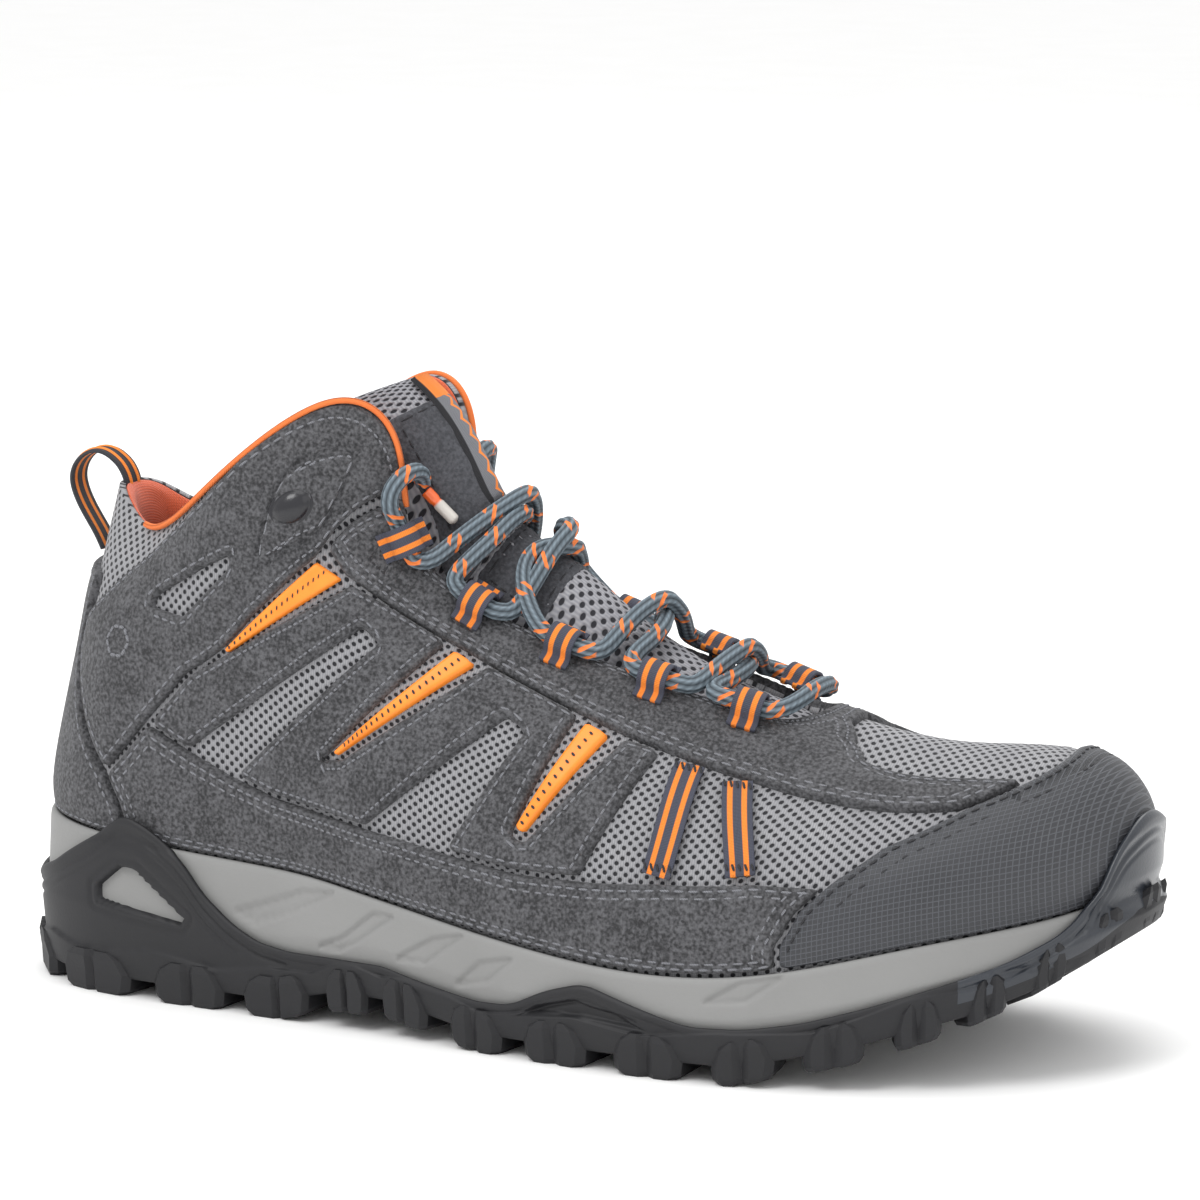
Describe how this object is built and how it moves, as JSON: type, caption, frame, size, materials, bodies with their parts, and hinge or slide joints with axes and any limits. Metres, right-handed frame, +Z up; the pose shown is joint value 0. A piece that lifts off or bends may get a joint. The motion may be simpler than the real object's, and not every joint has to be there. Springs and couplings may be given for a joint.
{
  "type": "hiking boot",
  "caption": "Mid-height hiking boot for a right foot, with a lugged rubber outsole, foam midsole, panelled mesh and suede upper, padded tongue and collar, and a laced throat.",
  "frame": {"origin": "on the ground, under the centre of the boot's bounding box", "axes": "+X towards the toe, +Y towards the medial side of this right boot, +Z up"},
  "size_m": [0.3002, 0.1132, 0.1591],
  "materials": {
    "black_rubber": "matt moulded rubber with a fine grain",
    "moulded_eva": "moulded grey foam",
    "suede": "charcoal suede with fine perforations",
    "spacer_mesh": "grey open mesh over a dark backing",
    "toe_fabric": "coated ripstop fabric",
    "lining_fabric": "orange textile over foam",
    "orange_film": "satin film",
    "webbing": "dark woven webbing with orange yarns",
    "lace_braid": "round braided cord with orange flecks",
    "fibre_board": "stiff fibre board",
    "footbed_foam": "moulded foam with a textile top",
    "spring_steel": "bare spring steel",
    "aglet_plastic": "clear and orange film"
  },
  "bodies": {
    "boot": {"accent_lateral_1": "orange_film", "accent_lateral_2": "orange_film", "accent_lateral_3": "orange_film", "accent_medial_1": "orange_film", "accent_medial_2": "orange_film", "accent_medial_3": "orange_film", "aglet_lateral": "aglet_plastic", "aglet_medial": "aglet_plastic", "ankle_button_lateral": "black_rubber", "ankle_button_medial": "black_rubber", "backstay": "suede", "collar_lining": "lining_fabric", "collar_overlay_lateral": "suede", "collar_overlay_medial": "suede", "eyestay": "suede", "foxing_lateral": "suede", "foxing_medial": "suede", "heel_counter": "fibre_board", "insole_board": "fibre_board", "lace": "lace_braid", "lace_loop_lateral_1": "webbing", "lace_loop_lateral_2": "webbing", "lace_loop_lateral_3": "webbing", "lace_loop_lateral_4": "webbing", "lace_loop_lateral_5": "webbing", "lace_loop_medial_1": "webbing", "lace_loop_medial_2": "webbing", "lace_loop_medial_3": "webbing", "lace_loop_medial_4": "webbing", "lace_loop_medial_5": "webbing", "midsole": "moulded_eva", "outsole": "black_rubber", "quarter_overlay_lateral": "suede", "quarter_overlay_medial": "suede", "shank": "spring_steel", "toe_cap": "toe_fabric", "toe_puff": "fibre_board", "tongue_lower": "spacer_mesh", "upper_shell": "spacer_mesh", "vamp_strap_lateral_1": "webbing", "vamp_strap_lateral_2": "webbing", "vamp_strap_medial_1": "webbing", "vamp_strap_medial_2": "webbing"},
    "upper_tongue": {"tongue_top": "spacer_mesh", "tongue_facing": "suede", "tongue_label": "webbing"},
    "heel_loop": {"pull_loop": "webbing"},
    "removable_footbed": {"footbed": "footbed_foam"}
  },
  "joints": [
    {"name": "tongue_fold", "type": "hinge", "parent": "boot", "child": "upper_tongue", "pos_m": [-0.02213, 0.00239, 0.098], "axis": [0, 1, 0], "range_deg": [-12, 0], "stiffness_Nm_per_rad": 0.4},
    {"name": "heel_loop_swing", "type": "hinge", "parent": "boot", "child": "heel_loop", "pos_m": [-0.13088, 0.00239, 0.1186], "axis": [0.2681, 0, 0.9634], "range_deg": [-12, 12], "stiffness_Nm_per_rad": 0.02},
    {"name": "footbed_lift", "type": "hinge", "parent": "boot", "child": "removable_footbed", "pos_m": [0.13387, 0.00239, 0.038], "axis": [0, 1, 0], "range_deg": [0, 5]}
  ]
}
